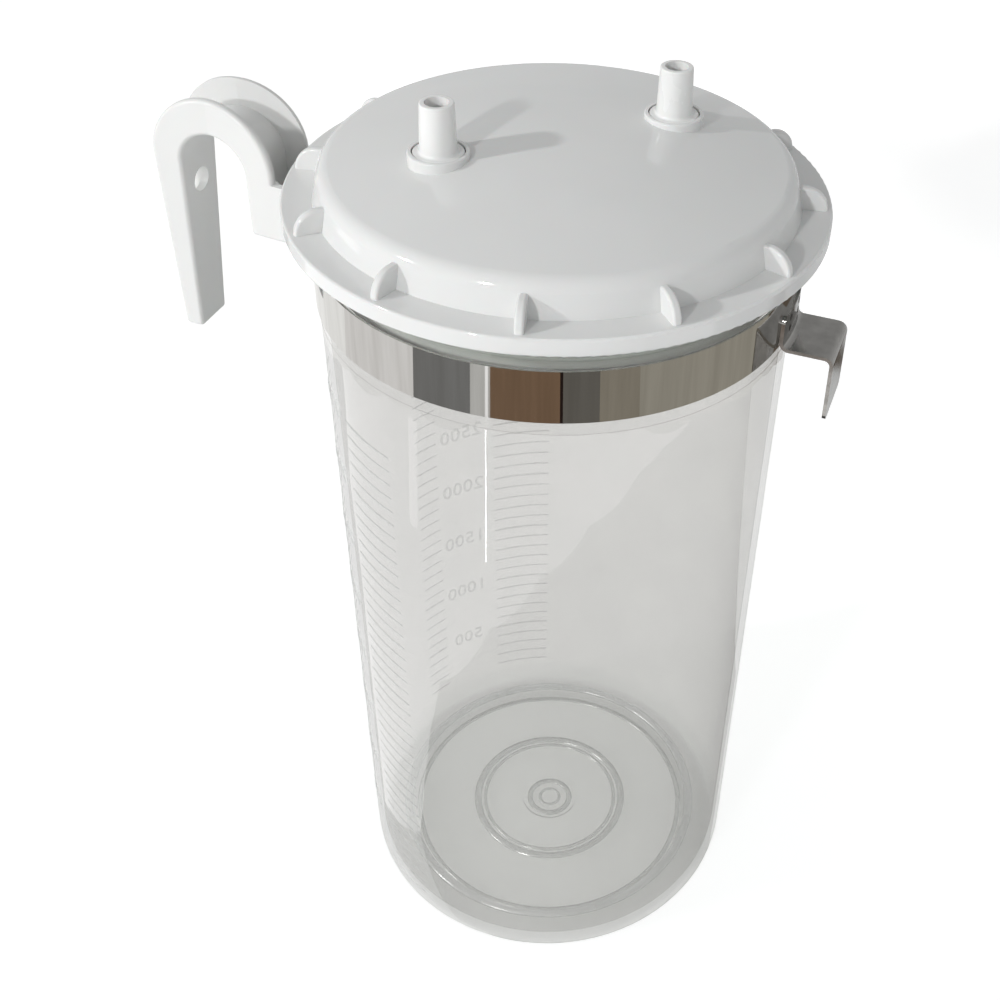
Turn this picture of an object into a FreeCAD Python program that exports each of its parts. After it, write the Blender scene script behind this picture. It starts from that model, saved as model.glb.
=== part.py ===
import FreeCAD, Part
import Sketcher
import math
import os
import re

# Suction waste bottle of about five litres, in millimetres.
# The jar's foot stands on z = 0 and its axis is the Z axis.
# The hook is on the +X side and the handle on the -X side.

SIZES = [
    # Jar
    ("jar_base_radius", 3.4, "how much less the wall's radius is at the table than at the neck"),
    ("jar_top_radius", 78.0, "outer radius of the tapering wall where it meets the neck"),
    ("jar_neck_radius", 0.3, "step from the tapering wall out to the straight neck"),
    ("neck_start", 34.5, "depth below the rim where the neck starts"),
    ("jar_height", 300.0, "height of the rim"),
    ("jar_wall", 2.4, "thickness of the tapering wall"),
    ("foot_round", 6.8, "outer rounding of the foot"),
    ("floor_round", 5.0, "inner rounding where the wall meets the floor"),
    ("floor_thickness", 2.7, "thickness of the floor at its thinnest"),
    ("foot_lift", 1.8, "step up inside the foot ring"),
    ("centre_lift", 1.0, "second step up inside the middle ring"),
    ("foot_ring_radius", 58.3, "radius of the step inside the foot ring"),
    ("middle_ring_radius", 33.1, "radius of the second step"),
    ("gate_radius", 11.7, "radius of the boss in the middle of the floor"),
    ("rim_round", 0.7, "rounding of the rim"),
    # Band
    ("band_thickness", 0.7, "sheet thickness of the band"),
    ("band_bottom", 29.6, "depth of the band's lower edge below the rim"),
    ("band_width", 18.1, "width of the band"),
    ("band_fit", 0.02, "gap between band and neck"),
    # Hook
    ("hook_thickness", 1.2, "sheet thickness of the hook"),
    ("hook_width", 23.0, "width of the hook"),
    ("hook_flange_height", 10.6, "height of the welded flange above the band's lower edge"),
    ("hook_tab_drop", 0.4, "drop of the tab's upper face below the band's lower edge"),
    ("hook_reach", 17.0, "distance from the band to the outer face of the leaf"),
    ("hook_leaf_length", 24.0, "length of the leaf below the tab's upper face"),
    ("hook_bend", 2.0, "inner radius of the hook's bends"),
    ("hook_corner", 2.0, "rounding of the leaf's lower corners"),
    # Handle
    ("handle_width", 22.6, "width of the handle at its arch"),
    ("handle_splay", 5.2, "lean of each side between the arch's middle and the band, in degrees"),
    ("handle_tip_width", 16.0, "width of the grip at its tip"),
    ("handle_plate", 2.5, "thickness of the two side plates"),
    ("handle_web", 2.8, "thickness of the web along the inner side"),
    ("root_bottom", 29.5, "depth of the root's lower face below the rim"),
    ("root_top", 1.9, "depth of the root's upper edge below the outer arch's centre"),
    ("root_floor", 3.0, "thickness of the root's floor"),
    ("root_back", 8.0, "thickness of the root's back, next to the band"),
    ("root_fit", 0.1, "gap between the root and the band"),
    ("finger_gap_start", 28.3, "distance from the band to the root's outer face"),
    ("arch_radius", 12.5, "inner radius of the arch"),
    ("arch_height", 21.5, "height of the inner arch's centre above the root's lower face"),
    ("arch_outer_radius", 23.4, "outer radius of the arch"),
    ("arch_outer_height", 1.7, "height of the outer arch's centre above the inner one"),
    ("grip_bottom", 68.8, "depth of the grip's tip below the inner arch's centre"),
    ("grip_tip_depth", 7.1, "depth of the grip at its tip"),
    ("grip_end_wall", 2.5, "thickness of the grip's closed end"),
    ("taper_start", 8.0, "height above the inner arch's centre where the handle starts to narrow"),
    ("handle_round", 1.5, "rounding of the handle's inner edges"),
    ("handle_corner", 1.5, "rounding of the handle's outer corners"),
    ("key_hole_radius", 4.4, "radius of the holes that let a key reach the screw"),
    # Screw that holds the handle
    ("screw_height", 10.5, "height of the screw above the root's lower face"),
    ("screw_radius", 2.5, "radius of the plain shank"),
    ("screw_core_radius", 2.1, "radius of the shank inside the nut"),
    ("screw_hole_gap", 0.15, "radial gap round the plain shank"),
    ("screw_end_gap", 1.0, "gap between the screw's end and the band"),
    ("screw_head_radius", 4.25, "radius of the head"),
    ("screw_head_height", 3.2, "height of the head"),
    ("screw_head_round", 0.5, "rounding of the head"),
    ("socket_radius", 2.3, "radius over the corners of the key socket"),
    ("socket_depth", 2.0, "depth of the key socket"),
    ("screw_washer_radius", 5.0, "outer radius of the washer"),
    ("screw_washer_thickness", 1.0, "thickness of the washer"),
    ("weld_nut_flats", 8.0, "width across the weld nut's flats"),
    ("weld_nut_height", 4.0, "height of the weld nut"),
    ("weld_nut_gap", 0.35, "gap round and over the weld nut in its pocket"),
    ("thread_gap", 0.05, "radial gap between a shank and its nut"),
    # Lid
    ("gasket_thickness", 2.0, "thickness of the gasket under the lid"),
    ("gasket_gap", 0.2, "gap between the gasket and the lid's plug"),
    ("lid_plate", 2.5, "thickness of the flange plate"),
    ("flange_radius", 8.7, "reach of the flange beyond the neck's radius"),
    ("rim_wall", 2.5, "thickness of the flange's turned-down rim"),
    ("rim_depth", 3.3, "depth of the turned-down rim"),
    ("flange_round", 0.8, "rounding of the flange's edges"),
    ("plug_gap", 0.4, "radial gap between the plug and the neck"),
    ("plug_wall", 2.6, "thickness of the plug"),
    ("plug_depth", 18.0, "depth of the plug below the flange plate"),
    ("skirt_base_radius", 2.1, "reach of the raised part beyond the plug, at the flange"),
    ("skirt_top_radius", 2.3, "how much narrower the raised part is at the dome's edge"),
    ("dome_edge_rise", 10.7, "height of the dome's edge above the flange"),
    ("dome_rise", 19.8, "height of the dome's middle above the flange"),
    ("dome_wall", 2.6, "thickness of the dome"),
    ("shoulder_round", 5.5, "outer rounding of the dome's edge"),
    ("shoulder_inner_round", 3.5, "inner rounding of the dome's edge"),
    ("rib_count", 12, "number of ribs round the lid"),
    ("rib_thickness", 2.8, "thickness of a rib"),
    ("rib_outer_radius", 8.0, "reach of a rib beyond the foot of the raised part"),
    ("rib_rise", 7.5, "height of a rib above the flange"),
    ("rib_round", 0.9, "rounding of a rib's edges"),
    ("rib_root", 1.2, "depth of a rib's root in the lid's wall"),
    ("lid_turn", 13.0, "angle of the first rib from the hook"),
    # Spigots
    ("spigot_offset", 39.5, "distance from the axis to a spigot"),
    ("spigot_turn", 30.0, "angle of the vacuum spigot from the first rib"),
    ("collar_radius", 9.6, "outer radius of the collar round a spigot"),
    ("collar_rise", 19.9, "height of the collar above the flange"),
    ("collar_round", 0.6, "rounding of the collar's upper edge"),
    ("collar_recess_radius", 8.3, "radius of the recess in the collar"),
    ("collar_recess_depth", 3.2, "depth of the recess"),
    ("seat_rise", 12.1, "height of the nut's seat above the flange"),
    ("spigot_bore_radius", 3.75, "radius of the bore"),
    ("spigot_tip_radius", 5.3, "outer radius at the tip"),
    ("spigot_root_radius", 5.85, "outer radius at the root"),
    ("spigot_length", 15.8, "length of the tapered part"),
    ("spigot_tip_round", 0.5, "rounding of the tip and the flange"),
    ("spigot_root_round", 0.8, "rounding between the tapered part and the flange"),
    ("spigot_flange_radius", 8.0, "radius of the spigot's flange"),
    ("spigot_flange_thickness", 2.2, "thickness of the spigot's flange"),
    ("spigot_shank_radius", 5.0, "radius of the shank through the lid"),
    ("shank_hole_gap", 0.2, "radial gap round the shank"),
    ("inlet_shank_length", 14.4, "length of the inlet's shank"),
    ("vacuum_shank_length", 19.4, "length of the vacuum spigot's shank"),
    ("spigot_washer_thickness", 0.8, "thickness of the washer under the flange"),
    ("spigot_washer_gap", 0.15, "radial gap round the washer in the recess"),
    ("lock_nut_flats", 15.0, "width across the lock nut's flats"),
    ("lock_nut_height", 5.0, "height of the lock nut"),
    # Overflow valve
    ("cage_radius", 15.0, "outer radius of the cage"),
    ("cage_wall", 1.8, "wall of the cage"),
    ("cage_neck_radius", 7.4, "outer radius of the cage's neck"),
    ("cage_neck_height", 4.5, "height of the neck above the cage's top plate"),
    ("cage_neck_gap", 0.5, "gap between the neck and the lock nut"),
    ("cage_top", 2.5, "thickness of the cage's top plate"),
    ("cage_height", 41.0, "height of the cage below its neck"),
    ("cage_window_width", 13.0, "width of a window"),
    ("cage_window_sill", 4.0, "wall left above and below a window"),
    ("cage_base_thickness", 2.0, "thickness of the base plate"),
    ("cage_base_plug", 2.0, "height of the base's plug inside the cage"),
    ("cage_base_gap", 0.05, "radial gap round the base's plug"),
    ("cage_hole_radius", 2.2, "radius of a hole in the base"),
    ("cage_hole_offset", 8.0, "distance from the cage's axis to the outer holes"),
    ("cage_hole_count", 6, "number of outer holes"),
    ("float_gap", 0.8, "radial gap between float and cage"),
    ("float_rest_gap", 0.2, "gap between the resting float and the base"),
    ("float_height", 20.0, "height of the float"),
    ("float_round", 1.5, "rounding of the float's edges"),
    ("float_pin_radius", 2.0, "radius of the pin that holds the pad"),
    ("float_pin_height", 1.4, "height of the pin"),
    ("seal_radius", 7.0, "radius of the rubber pad"),
    ("seal_thickness", 2.0, "thickness of the rubber pad"),
    ("seal_gap", 0.05, "radial gap round the pin"),
]

NAMES = [name for name, value, note in SIZES]

# Heights and places that follow from the sizes
NECK_RADIUS = "(jar_top_radius + jar_neck_radius)"
WALL_BASE = "(jar_top_radius - jar_base_radius)"
NECK_START = "(jar_height - neck_start)"
BAND_BOTTOM = "(jar_height - band_bottom)"
ROOT_BOTTOM = "(jar_height - root_bottom)"
SCREW_HEIGHT = "(jar_height - root_bottom + screw_height)"
SKIRT_BASE = "(jar_top_radius - jar_wall - plug_gap + skirt_base_radius)"
SKIRT_TOP = "(jar_top_radius - jar_wall - plug_gap + skirt_base_radius - skirt_top_radius)"
LID_UNDER = "(jar_height + gasket_thickness)"
LID_FACE = "(jar_height + gasket_thickness + lid_plate)"
NECK_BORE = "(jar_top_radius - jar_wall)"
PLUG_RADIUS = "(jar_top_radius - jar_wall - plug_gap)"
FLOOR_TOP = "(foot_lift + centre_lift + floor_thickness)"
BAND_INNER = f"({NECK_RADIUS} + band_fit)"
BAND_OUTER = f"({NECK_RADIUS} + band_fit + band_thickness)"
TAB_TOP = f"({BAND_BOTTOM} - hook_tab_drop)"
HOOK_FACE = f"({NECK_RADIUS} + band_fit + band_thickness + hook_reach)"
ROOT_FACE = f"({NECK_RADIUS} + band_fit + band_thickness + finger_gap_start)"
ARCH_CENTRE = f"({ROOT_FACE} + arch_radius)"
GRIP_OUTER = f"({ARCH_CENTRE} + arch_outer_radius)"
ARCH_LEVEL = f"({ROOT_BOTTOM} + arch_height)"
ARCH_OUTER_LEVEL = f"({ROOT_BOTTOM} + arch_height + arch_outer_height)"
ROOT_TOP = f"({ROOT_BOTTOM} + arch_height + arch_outer_height - root_top)"
GRIP_BOTTOM = f"({ROOT_BOTTOM} + arch_height - grip_bottom)"
TAPER_START = f"({ROOT_BOTTOM} + arch_height + taper_start)"
FLANGE_EDGE = f"({NECK_RADIUS} + flange_radius)"
RIB_END = f"({SKIRT_BASE} + rib_outer_radius)"
SCREW_SEAT = f"({BAND_OUTER} + root_fit + root_back)"
COLLAR_TOP = f"({LID_FACE} + collar_rise)"
NUT_SEAT = f"({LID_FACE} + seat_rise)"
WASHER_SEAT = f"({COLLAR_TOP} - collar_recess_depth)"
SPIGOT_SEAT = f"({WASHER_SEAT} + spigot_washer_thickness)"
CAGE_TOP = f"({NUT_SEAT} - lock_nut_height - cage_neck_gap - cage_neck_height)"
CAGE_BOTTOM = f"({CAGE_TOP} - cage_height)"
CAGE_BORE = "(cage_radius - cage_wall)"
FLOAT_BOTTOM = f"({CAGE_BOTTOM} + cage_base_plug + float_rest_gap)"
FLOAT_TOP = f"({FLOAT_BOTTOM} + float_height)"

# Directions of the two spigots from the hook, in degrees
VACUUM_TURN = "(lid_turn + spigot_turn)"
INLET_TURN = "(lid_turn + spigot_turn + 180)"

doc = FreeCAD.newDocument("suction_waste_bottle")
sheet = doc.addObject("Spreadsheet::Sheet", "Sizes")
for row, (name, value, note) in enumerate(SIZES, start=1):
    sheet.set(f"A{row}", name)
    sheet.set(f"B{row}", str(value))
    sheet.setAlias(f"B{row}", name)
    sheet.set(f"C{row}", note)
doc.recompute()

nodes = []


def bound(formula):
    """The formula with each size written as a reference to its cell."""
    return re.sub(r"[a-z]\w*", lambda word: f"Sizes.{word[0]}" if word[0] in NAMES else word[0], formula)


def number(formula):
    """The formula's value now."""
    return float(sheet.evalExpression(bound(formula)))


def bind(item, field, formula):
    """Tie one property to the sizes."""
    item.setExpression(field, bound(formula))


def keep(item, label):
    """Make this object one of the part's pieces."""
    item.Label = label
    nodes.append(item)
    return item


def new_body(name):
    return doc.addObject("PartDesign::Body", name)


def origin_plane(body, role):
    return [item for item in body.Origin.OriginFeatures if item.Role == role][0]


def arc_between(start, end, radius, left):
    """The arc from start to end, no longer than half a circle, with its centre on the named side."""
    half = (end - start) * 0.5
    across = FreeCAD.Vector(-half.y, half.x, 0)
    across.normalize()
    rise = math.sqrt(max(radius ** 2 - half.Length ** 2, 0.0))
    centre = start + half + across * (rise if left else -rise)
    first = math.atan2(start.y - centre.y, start.x - centre.x)
    last = math.atan2(end.y - centre.y, end.x - centre.x)
    if not left:
        first, last = last, first
    circle = Part.Circle(centre, FreeCAD.Vector(0, 0, 1), radius)
    return Part.ArcOfCircle(circle, first, last)


def fix_point(sketch, geometry, end, formula_x, formula_y):
    """Hold one point of the sketch at two formulas."""
    for kind, formula, axis in (("DistanceX", formula_x, -2), ("DistanceY", formula_y, -1)):
        if formula == "0":
            sketch.addConstraint(Sketcher.Constraint("PointOnObject", geometry, end, axis))
            continue
        index = sketch.addConstraint(Sketcher.Constraint(kind, -1, 1, geometry, end, number(formula)))
        bind(sketch, f"Constraints[{index}]", formula)


def profile(body, role, corners, arcs=None, name="outline"):
    """A closed outline through the corners. arcs maps a side to its radius, the side on which its
    centre lies, and where given the height of its centre, or None for a centre on the axis."""
    arcs = arcs or {}
    sketch = body.newObject("Sketcher::SketchObject", name)
    sketch.AttachmentSupport = [(origin_plane(body, role), "")]
    sketch.MapMode = "FlatFace"
    places = [FreeCAD.Vector(number(x), number(y), 0) for x, y in corners]
    ends = []
    for side, start in enumerate(places):
        end = places[(side + 1) % len(places)]
        if side in arcs:
            radius, left = arcs[side][:2]
            sketch.addGeometry(arc_between(start, end, number(radius), left))
            ends.append((1, 2) if left else (2, 1))
        else:
            sketch.addGeometry(Part.LineSegment(start, end))
            ends.append((1, 2))
    for side, (first, last) in enumerate(ends):
        following = (side + 1) % len(places)
        sketch.addConstraint(Sketcher.Constraint("Coincident", side, last, following, ends[following][0]))
    for side, (formula_x, formula_y) in enumerate(corners):
        fix_point(sketch, side, ends[side][0], formula_x, formula_y)
    for side, (radius, left, *height) in arcs.items():
        if height == [None]:
            sketch.addConstraint(Sketcher.Constraint("PointOnObject", side, 3, -2))
            continue
        if height:
            limit = Sketcher.Constraint("DistanceY", -1, 1, side, 3, number(height[0]))
        else:
            limit = Sketcher.Constraint("Radius", side, number(radius))
        index = sketch.addConstraint(limit)
        bind(sketch, f"Constraints[{index}]", height[0] if height else radius)
    return sketch


def rings(body, role, circles, name="circles"):
    """A sketch of circles, each given by its centre and radius."""
    sketch = body.newObject("Sketcher::SketchObject", name)
    sketch.AttachmentSupport = [(origin_plane(body, role), "")]
    sketch.MapMode = "FlatFace"
    up = FreeCAD.Vector(0, 0, 1)
    for index, (x, y, radius) in enumerate(circles):
        centre = FreeCAD.Vector(number(x), number(y), 0)
        sketch.addGeometry(Part.Circle(centre, up, number(radius)))
        fix_point(sketch, index, 3, x, y)
        at = sketch.addConstraint(Sketcher.Constraint("Radius", index, number(radius)))
        bind(sketch, f"Constraints[{at}]", radius)
    return sketch


def extrude(body, kind, sketch, length, both=False, name="extrusion"):
    """Pad or pocket a sketch. both grows it to the two sides of the sketch; no length means all the way."""
    feature = body.newObject(f"PartDesign::{kind}", name)
    feature.Profile = sketch
    if both:
        feature.SideType = "Symmetric"
    if length is None:
        feature.Type = "ThroughAll"
    else:
        bind(feature, "Length", length)
    sketch.Visibility = False
    doc.recompute()
    return feature


def turn(body, sketch, angle=360.0, name="turning"):
    """Turn a sketch about the vertical axis."""
    feature = body.newObject("PartDesign::Revolution", name)
    feature.Profile = sketch
    feature.ReferenceAxis = (sketch, ["V_Axis"])
    feature.Midplane = angle < 360.0
    feature.Angle = angle
    sketch.Visibility = False
    doc.recompute()
    return feature


def rounded(body, feature, radius, wanted, name="rounding"):
    """Round the edges of a feature that the test picks out."""
    edges = enumerate(feature.Shape.Edges, start=1)
    names = [f"Edge{index}" for index, edge in edges if not edge.Degenerated and wanted(edge)]
    fillet = body.newObject("PartDesign::Fillet", name)
    fillet.Base = (feature, names)
    bind(fillet, "Radius", radius)
    doc.recompute()
    return fillet


def near(first, second):
    return abs(first - second) < 1e-4


def on_rings(*places):
    """A test for whole circles about the vertical axis, each given by its radius and height."""
    wanted = [(number(radius), number(height)) for radius, height in places]

    def test(edge):
        if edge.Curve.TypeId != "Part::GeomCircle":
            return False
        curve = edge.Curve
        return any(near(curve.Radius, radius) and near(curve.Center.z, height) for radius, height in wanted)

    return test


def turned(label, corners, arcs=None, roundings=()):
    """A body turned from one outline, with roundings given as a radius and a list of circles."""
    body = new_body(label)
    feature = turn(body, profile(body, "XZ_Plane", corners, arcs))
    for radius, places in roundings:
        feature = rounded(body, feature, radius, on_rings(*places))
    return body


def place(item, x="0", y="0", z="0"):
    """Tie the piece's place to the sizes."""
    for axis, formula in (("x", x), ("y", y), ("z", z)):
        if formula != "0":
            bind(item, f"Placement.Base.{axis}", formula)
    return item


def at_spigot(item, angle, height):
    """Stand a piece on the axis of one spigot."""
    return place(item, f"spigot_offset * cos({angle})", f"spigot_offset * sin({angle})", height)


def at_screw(item, distance):
    """Lay a piece on the screw's axis, its foot this far from the bottle's axis, facing away from it."""
    item.Placement.Rotation = FreeCAD.Rotation(FreeCAD.Vector(0, 1, 0), -90)
    return place(item, f"-({distance})", "0", SCREW_HEIGHT)


def cylinder(label, radius, height):
    item = doc.addObject("Part::Cylinder", label)
    bind(item, "Radius", radius)
    bind(item, "Height", height)
    return item


def hex_nut(label, flats, height, bore):
    """A hexagonal nut with rounded-off corners and a plain bore."""
    prism = doc.addObject("Part::Prism", f"{label}_prism")
    prism.Polygon = 6
    bind(prism, "Circumradius", f"{flats} / 2 / cos(30)")
    bind(prism, "Height", height)
    hole = cylinder(f"{label}_bore", bore, height)
    nut = doc.addObject("Part::Cut", label)
    nut.Base = prism
    nut.Tool = hole
    return nut


# Jar
jar = turned(
    "jar",
    [
        ("0", "foot_lift"),
        ("gate_radius", "foot_lift"),
        ("gate_radius", "foot_lift + centre_lift"),
        ("middle_ring_radius", "foot_lift + centre_lift"),
        ("middle_ring_radius", "foot_lift"),
        ("foot_ring_radius", "foot_lift"),
        ("foot_ring_radius", "0"),
        (WALL_BASE, "0"),
        ("jar_top_radius", NECK_START),
        (NECK_RADIUS, NECK_START),
        (NECK_RADIUS, "jar_height"),
        (NECK_BORE, "jar_height"),
        (NECK_BORE, NECK_START),
        (f"{WALL_BASE} - jar_wall", FLOOR_TOP),
        ("0", FLOOR_TOP),
    ],
    roundings=[
        ("foot_round", [(WALL_BASE, "0")]),
        ("floor_round", [(f"{WALL_BASE} - jar_wall", FLOOR_TOP)]),
        ("rim_round", [(NECK_RADIUS, "jar_height"), (NECK_BORE, "jar_height")]),
    ],
)
keep(jar, "jar")

# Band
band = turned(
    "band",
    [
        (BAND_INNER, BAND_BOTTOM),
        (BAND_OUTER, BAND_BOTTOM),
        (BAND_OUTER, f"{BAND_BOTTOM} + band_width"),
        (BAND_INNER, f"{BAND_BOTTOM} + band_width"),
    ],
)
keep(band, "band")

# Hook, folded from one strip: a curved flange on the band, a tab and a leaf that hangs down
HOOK_START = f"({BAND_OUTER} + hook_thickness + hook_bend)"
HOOK_JOIN = f"sqrt({HOOK_START} ^ 2 + (hook_width / 2 + hook_bend) ^ 2)"
HOOK_TOP = f"({BAND_BOTTOM} + hook_flange_height)"
hook = new_body("hook")
flange_outline = profile(
    hook,
    "XZ_Plane",
    [
        (BAND_OUTER, HOOK_TOP),
        (BAND_OUTER, f"{TAB_TOP} + hook_bend"),
        (HOOK_START, f"{TAB_TOP} - hook_thickness"),
        (HOOK_JOIN, f"{TAB_TOP} - hook_thickness"),
        (HOOK_JOIN, TAB_TOP),
        (HOOK_START, TAB_TOP),
        (f"{BAND_OUTER} + hook_thickness", f"{TAB_TOP} + hook_bend"),
        (f"{BAND_OUTER} + hook_thickness", HOOK_TOP),
    ],
    arcs={1: ("hook_bend + hook_thickness", True), 5: ("hook_bend", False)},
    name="flange_outline",
)
HOOK_SWEEP = 40.0
turn(hook, flange_outline, HOOK_SWEEP, name="flange")
for side in ("", "-"):
    trim = profile(
        hook,
        "XY_Plane",
        [
            (f"{NECK_BORE} * cos({HOOK_SWEEP})", f"{side}(hook_width / 2)"),
            (HOOK_FACE, f"{side}(hook_width / 2)"),
            (HOOK_FACE, f"{side}({HOOK_FACE} * sin({HOOK_SWEEP}))"),
            (f"{NECK_BORE} * cos({HOOK_SWEEP})", f"{side}({HOOK_FACE} * sin({HOOK_SWEEP}))"),
        ],
        name="flange_trim",
    )
    extrude(hook, "Pocket", trim, None, both=True, name="flange_side")
leaf_outline = profile(
    hook,
    "XZ_Plane",
    [
        (HOOK_START, f"{TAB_TOP} - hook_thickness"),
        (f"{HOOK_FACE} - hook_bend - hook_thickness", f"{TAB_TOP} - hook_thickness"),
        (f"{HOOK_FACE} - hook_thickness", f"{TAB_TOP} - hook_thickness - hook_bend"),
        (f"{HOOK_FACE} - hook_thickness", f"{TAB_TOP} - hook_leaf_length"),
        (HOOK_FACE, f"{TAB_TOP} - hook_leaf_length"),
        (HOOK_FACE, f"{TAB_TOP} - hook_bend - hook_thickness"),
        (f"{HOOK_FACE} - hook_bend - hook_thickness", TAB_TOP),
        (HOOK_START, TAB_TOP),
    ],
    arcs={1: ("hook_bend", False), 5: ("hook_bend + hook_thickness", True)},
    name="leaf_outline",
)
leaf = extrude(hook, "Pad", leaf_outline, "hook_width", both=True, name="leaf")
leaf_bottom = number(f"{TAB_TOP} - hook_leaf_length")
flange_top = number(HOOK_TOP)
hook_side = number("hook_width / 2")


def hook_corners(edge):
    """The short edges through the sheet at the free corners of the leaf and the flange."""
    middle = edge.CenterOfMass
    sides = [abs(vertex.Y) for vertex in edge.Vertexes]
    heights = [vertex.Z for vertex in edge.Vertexes]
    at_end = all(near(height, leaf_bottom) for height in heights) or all(near(z, flange_top) for z in heights)
    return at_end and all(near(side, hook_side) for side in sides) and near(abs(middle.y), hook_side)


rounded(hook, leaf, "hook_corner", hook_corners)
keep(hook, "hook")

# Handle, drawn on the +X side and then turned to the -X side
GRIP_TIP = f"({GRIP_BOTTOM} + grip_end_wall)"
GRIP_INNER = f"({GRIP_OUTER} - grip_tip_depth)"
ABOVE_HANDLE = f"({ARCH_OUTER_LEVEL} + 2 * arch_outer_radius)"
BEYOND_HANDLE = f"({GRIP_OUTER} + arch_outer_radius)"
SPLAY_GROWTH = f"(tan(handle_splay * 1deg) * ({ARCH_CENTRE} - {NECK_BORE}))"
handle_blank = new_body("handle_blank")
blank_outline = profile(
    handle_blank,
    "XZ_Plane",
    [
        (NECK_BORE, ROOT_BOTTOM),
        (ROOT_FACE, ROOT_BOTTOM),
        (ROOT_FACE, ARCH_LEVEL),
        (f"{ARCH_CENTRE} + arch_radius", ARCH_LEVEL),
        (GRIP_INNER, GRIP_BOTTOM),
        (GRIP_OUTER, GRIP_BOTTOM),
        (GRIP_OUTER, ARCH_OUTER_LEVEL),
        (f"{ARCH_CENTRE} - arch_outer_radius", ARCH_OUTER_LEVEL),
        (f"{ARCH_CENTRE} - arch_outer_radius", ROOT_TOP),
        (NECK_BORE, ROOT_TOP),
    ],
    arcs={
        2: ("arch_radius", False, ARCH_LEVEL),
        6: ("arch_outer_radius", True, ARCH_OUTER_LEVEL),
    },
)
extrude(handle_blank, "Pad", blank_outline, f"handle_width + 2 * {SPLAY_GROWTH}", both=True, name="blank")


def splayed(body, inset):
    """Let the two sides lean out from the arch's middle to the band, inset from the handle's faces."""
    for side in ("", "-"):
        wedge = profile(
            body,
            "XY_Plane",
            [
                (ARCH_CENTRE, f"{side}(handle_width / 2 - {inset})"),
                (BEYOND_HANDLE, f"{side}(handle_width / 2 - {inset})"),
                (BEYOND_HANDLE, f"{side}(handle_width + {SPLAY_GROWTH})"),
                (NECK_BORE, f"{side}(handle_width + {SPLAY_GROWTH})"),
                (NECK_BORE, f"{side}(handle_width / 2 - {inset} + {SPLAY_GROWTH})"),
            ],
            name="splay",
        )
        extrude(body, "Pocket", wedge, None, both=True, name="splay_side")


def narrow(body, inset):
    """Taper the two sides of the grip, inset from the handle's faces."""
    low = f"({GRIP_BOTTOM} - handle_width)"
    slope = "((handle_width - handle_tip_width) / 2 / (taper_start + grip_bottom))"
    for side in ("", "-"):
        wedge = profile(
            body,
            "YZ_Plane",
            [
                (f"{side}(handle_width / 2 - {inset})", TAPER_START),
                (f"{side}(handle_width / 2 - {inset} - {slope} * ({TAPER_START} - {low}))", low),
                (f"{side}(handle_width)", low),
                (f"{side}(handle_width)", TAPER_START),
            ],
            name="taper",
        )
        bind(wedge, "AttachmentOffset.Base.z", ARCH_CENTRE)
        cut = extrude(body, "Pocket", wedge, BEYOND_HANDLE, name="taper_side")
        cut.Reversed = True
    doc.recompute()
    return cut


splayed(handle_blank, "0")
narrow(handle_blank, "0")
ring = rings(handle_blank, "XY_Plane", [("0", "0", f"{BAND_OUTER} + root_fit")])
against_band = extrude(handle_blank, "Pocket", ring, None, both=True, name="band_side")
handle_corner_places = [
    (number(ROOT_FACE), number(ROOT_BOTTOM)),
    (number(GRIP_INNER), number(GRIP_BOTTOM)),
    (number(GRIP_OUTER), number(GRIP_BOTTOM)),
]


def handle_corners(edge):
    """The edges across the handle at its sharp outer corners."""
    spots = [(vertex.X, vertex.Z) for vertex in edge.Vertexes]
    if len(spots) < 2 or not near(edge.CenterOfMass.y, 0):
        return False
    return any(all(near(x, px) and near(z, pz) for x, z in spots) for px, pz in handle_corner_places)


cornered = rounded(handle_blank, against_band, "handle_corner", handle_corners)
arch_middle = number(ARCH_CENTRE)
arch_level = number(ARCH_LEVEL)
inner_radius = number("arch_radius")
grip_lean = number(f"({GRIP_INNER} - {ARCH_CENTRE} - arch_radius) / grip_bottom")
root_x = number(ROOT_FACE)


def handle_inside(edge):
    """The long edges of the handle that face the jar's side of the grip."""
    middle = edge.valueAt((edge.FirstParameter + edge.LastParameter) / 2)
    if abs(middle.y) < 1:
        return False
    on_root = near(middle.x, root_x) and middle.z < arch_level
    from_centre = math.hypot(middle.x - arch_middle, middle.z - arch_level)
    on_arch = near(from_centre, inner_radius) and middle.z > arch_level
    grip_x = arch_middle + inner_radius + grip_lean * (arch_level - middle.z)
    on_grip = near(middle.x, grip_x) and middle.z < arch_level
    return on_root or on_arch or on_grip


rounded(handle_blank, cornered, "handle_round", handle_inside, name="inner_rounding")

handle_channel = new_body("handle_channel")
channel_outline = profile(
    handle_channel,
    "XZ_Plane",
    [
        (SCREW_SEAT, f"{ROOT_BOTTOM} + root_floor"),
        (f"{ROOT_FACE} - handle_web", f"{ROOT_BOTTOM} + root_floor"),
        (f"{ROOT_FACE} - handle_web", ARCH_LEVEL),
        (f"{ARCH_CENTRE} + arch_radius + handle_web", ARCH_LEVEL),
        (f"{GRIP_INNER} + handle_web", GRIP_TIP),
        (BEYOND_HANDLE, GRIP_TIP),
        (BEYOND_HANDLE, ABOVE_HANDLE),
        (SCREW_SEAT, ABOVE_HANDLE),
    ],
    arcs={2: ("arch_radius + handle_web", False, ARCH_LEVEL)},
)
channel_width = f"handle_width - 2 * handle_plate + 2 * {SPLAY_GROWTH}"
extrude(handle_channel, "Pad", channel_outline, channel_width, both=True, name="channel")
splayed(handle_channel, "handle_plate")
narrow(handle_channel, "handle_plate")


def bore_along_x(label, radius, start, end):
    """A round cutter on the screw's axis between two distances from the bottle's axis."""
    item = cylinder(label, radius, f"{end} - ({start})")
    item.Placement.Rotation = FreeCAD.Rotation(FreeCAD.Vector(0, 1, 0), 90)
    return place(item, start, "0", SCREW_HEIGHT)


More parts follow.
